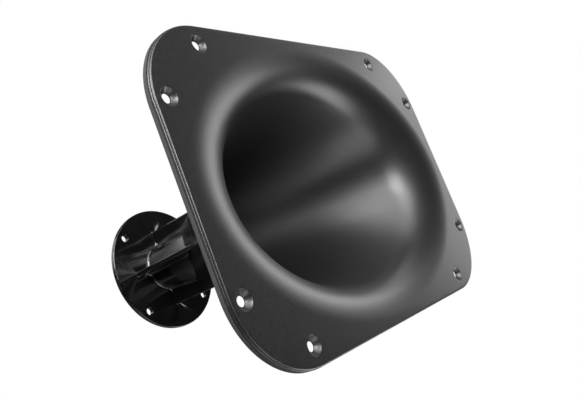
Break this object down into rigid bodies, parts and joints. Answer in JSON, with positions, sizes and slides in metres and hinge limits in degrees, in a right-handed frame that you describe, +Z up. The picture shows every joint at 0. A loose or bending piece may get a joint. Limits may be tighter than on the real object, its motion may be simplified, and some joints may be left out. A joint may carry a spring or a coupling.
{
  "type": "horn loudspeaker flare",
  "caption": "Black constant-directivity horn flare: flat rounded mouth flange with countersunk holes, smooth elliptical bell, and a ribbed neck ending in a round driver flange.",
  "frame": {"origin": "back face of the mouth flange's plate, where the bolt holes open, on the horn's axis; the foam strip's face is 3.4 mm behind it", "axes": "mouth faces -Y, driver flange at +Y on the horn's axis, +X along the mouth's long side, +Z up along its short side"},
  "size_m": [0.345, 0.23, 0.237],
  "materials": {
    "matte_black_moulding": "fine grained, matte",
    "gloss_black_moulding": "smooth, glossy",
    "grey_foam": "closed-cell foam, matte",
    "black_rubber": "smooth, matte"
  },
  "bodies": {
    "root": {"horn_bell": "matte_black_moulding", "throat_neck": "gloss_black_moulding", "neck_seal": "black_rubber", "mouth_gasket": "grey_foam", "driver_gasket": "black_rubber"}
  },
  "joints": []
}
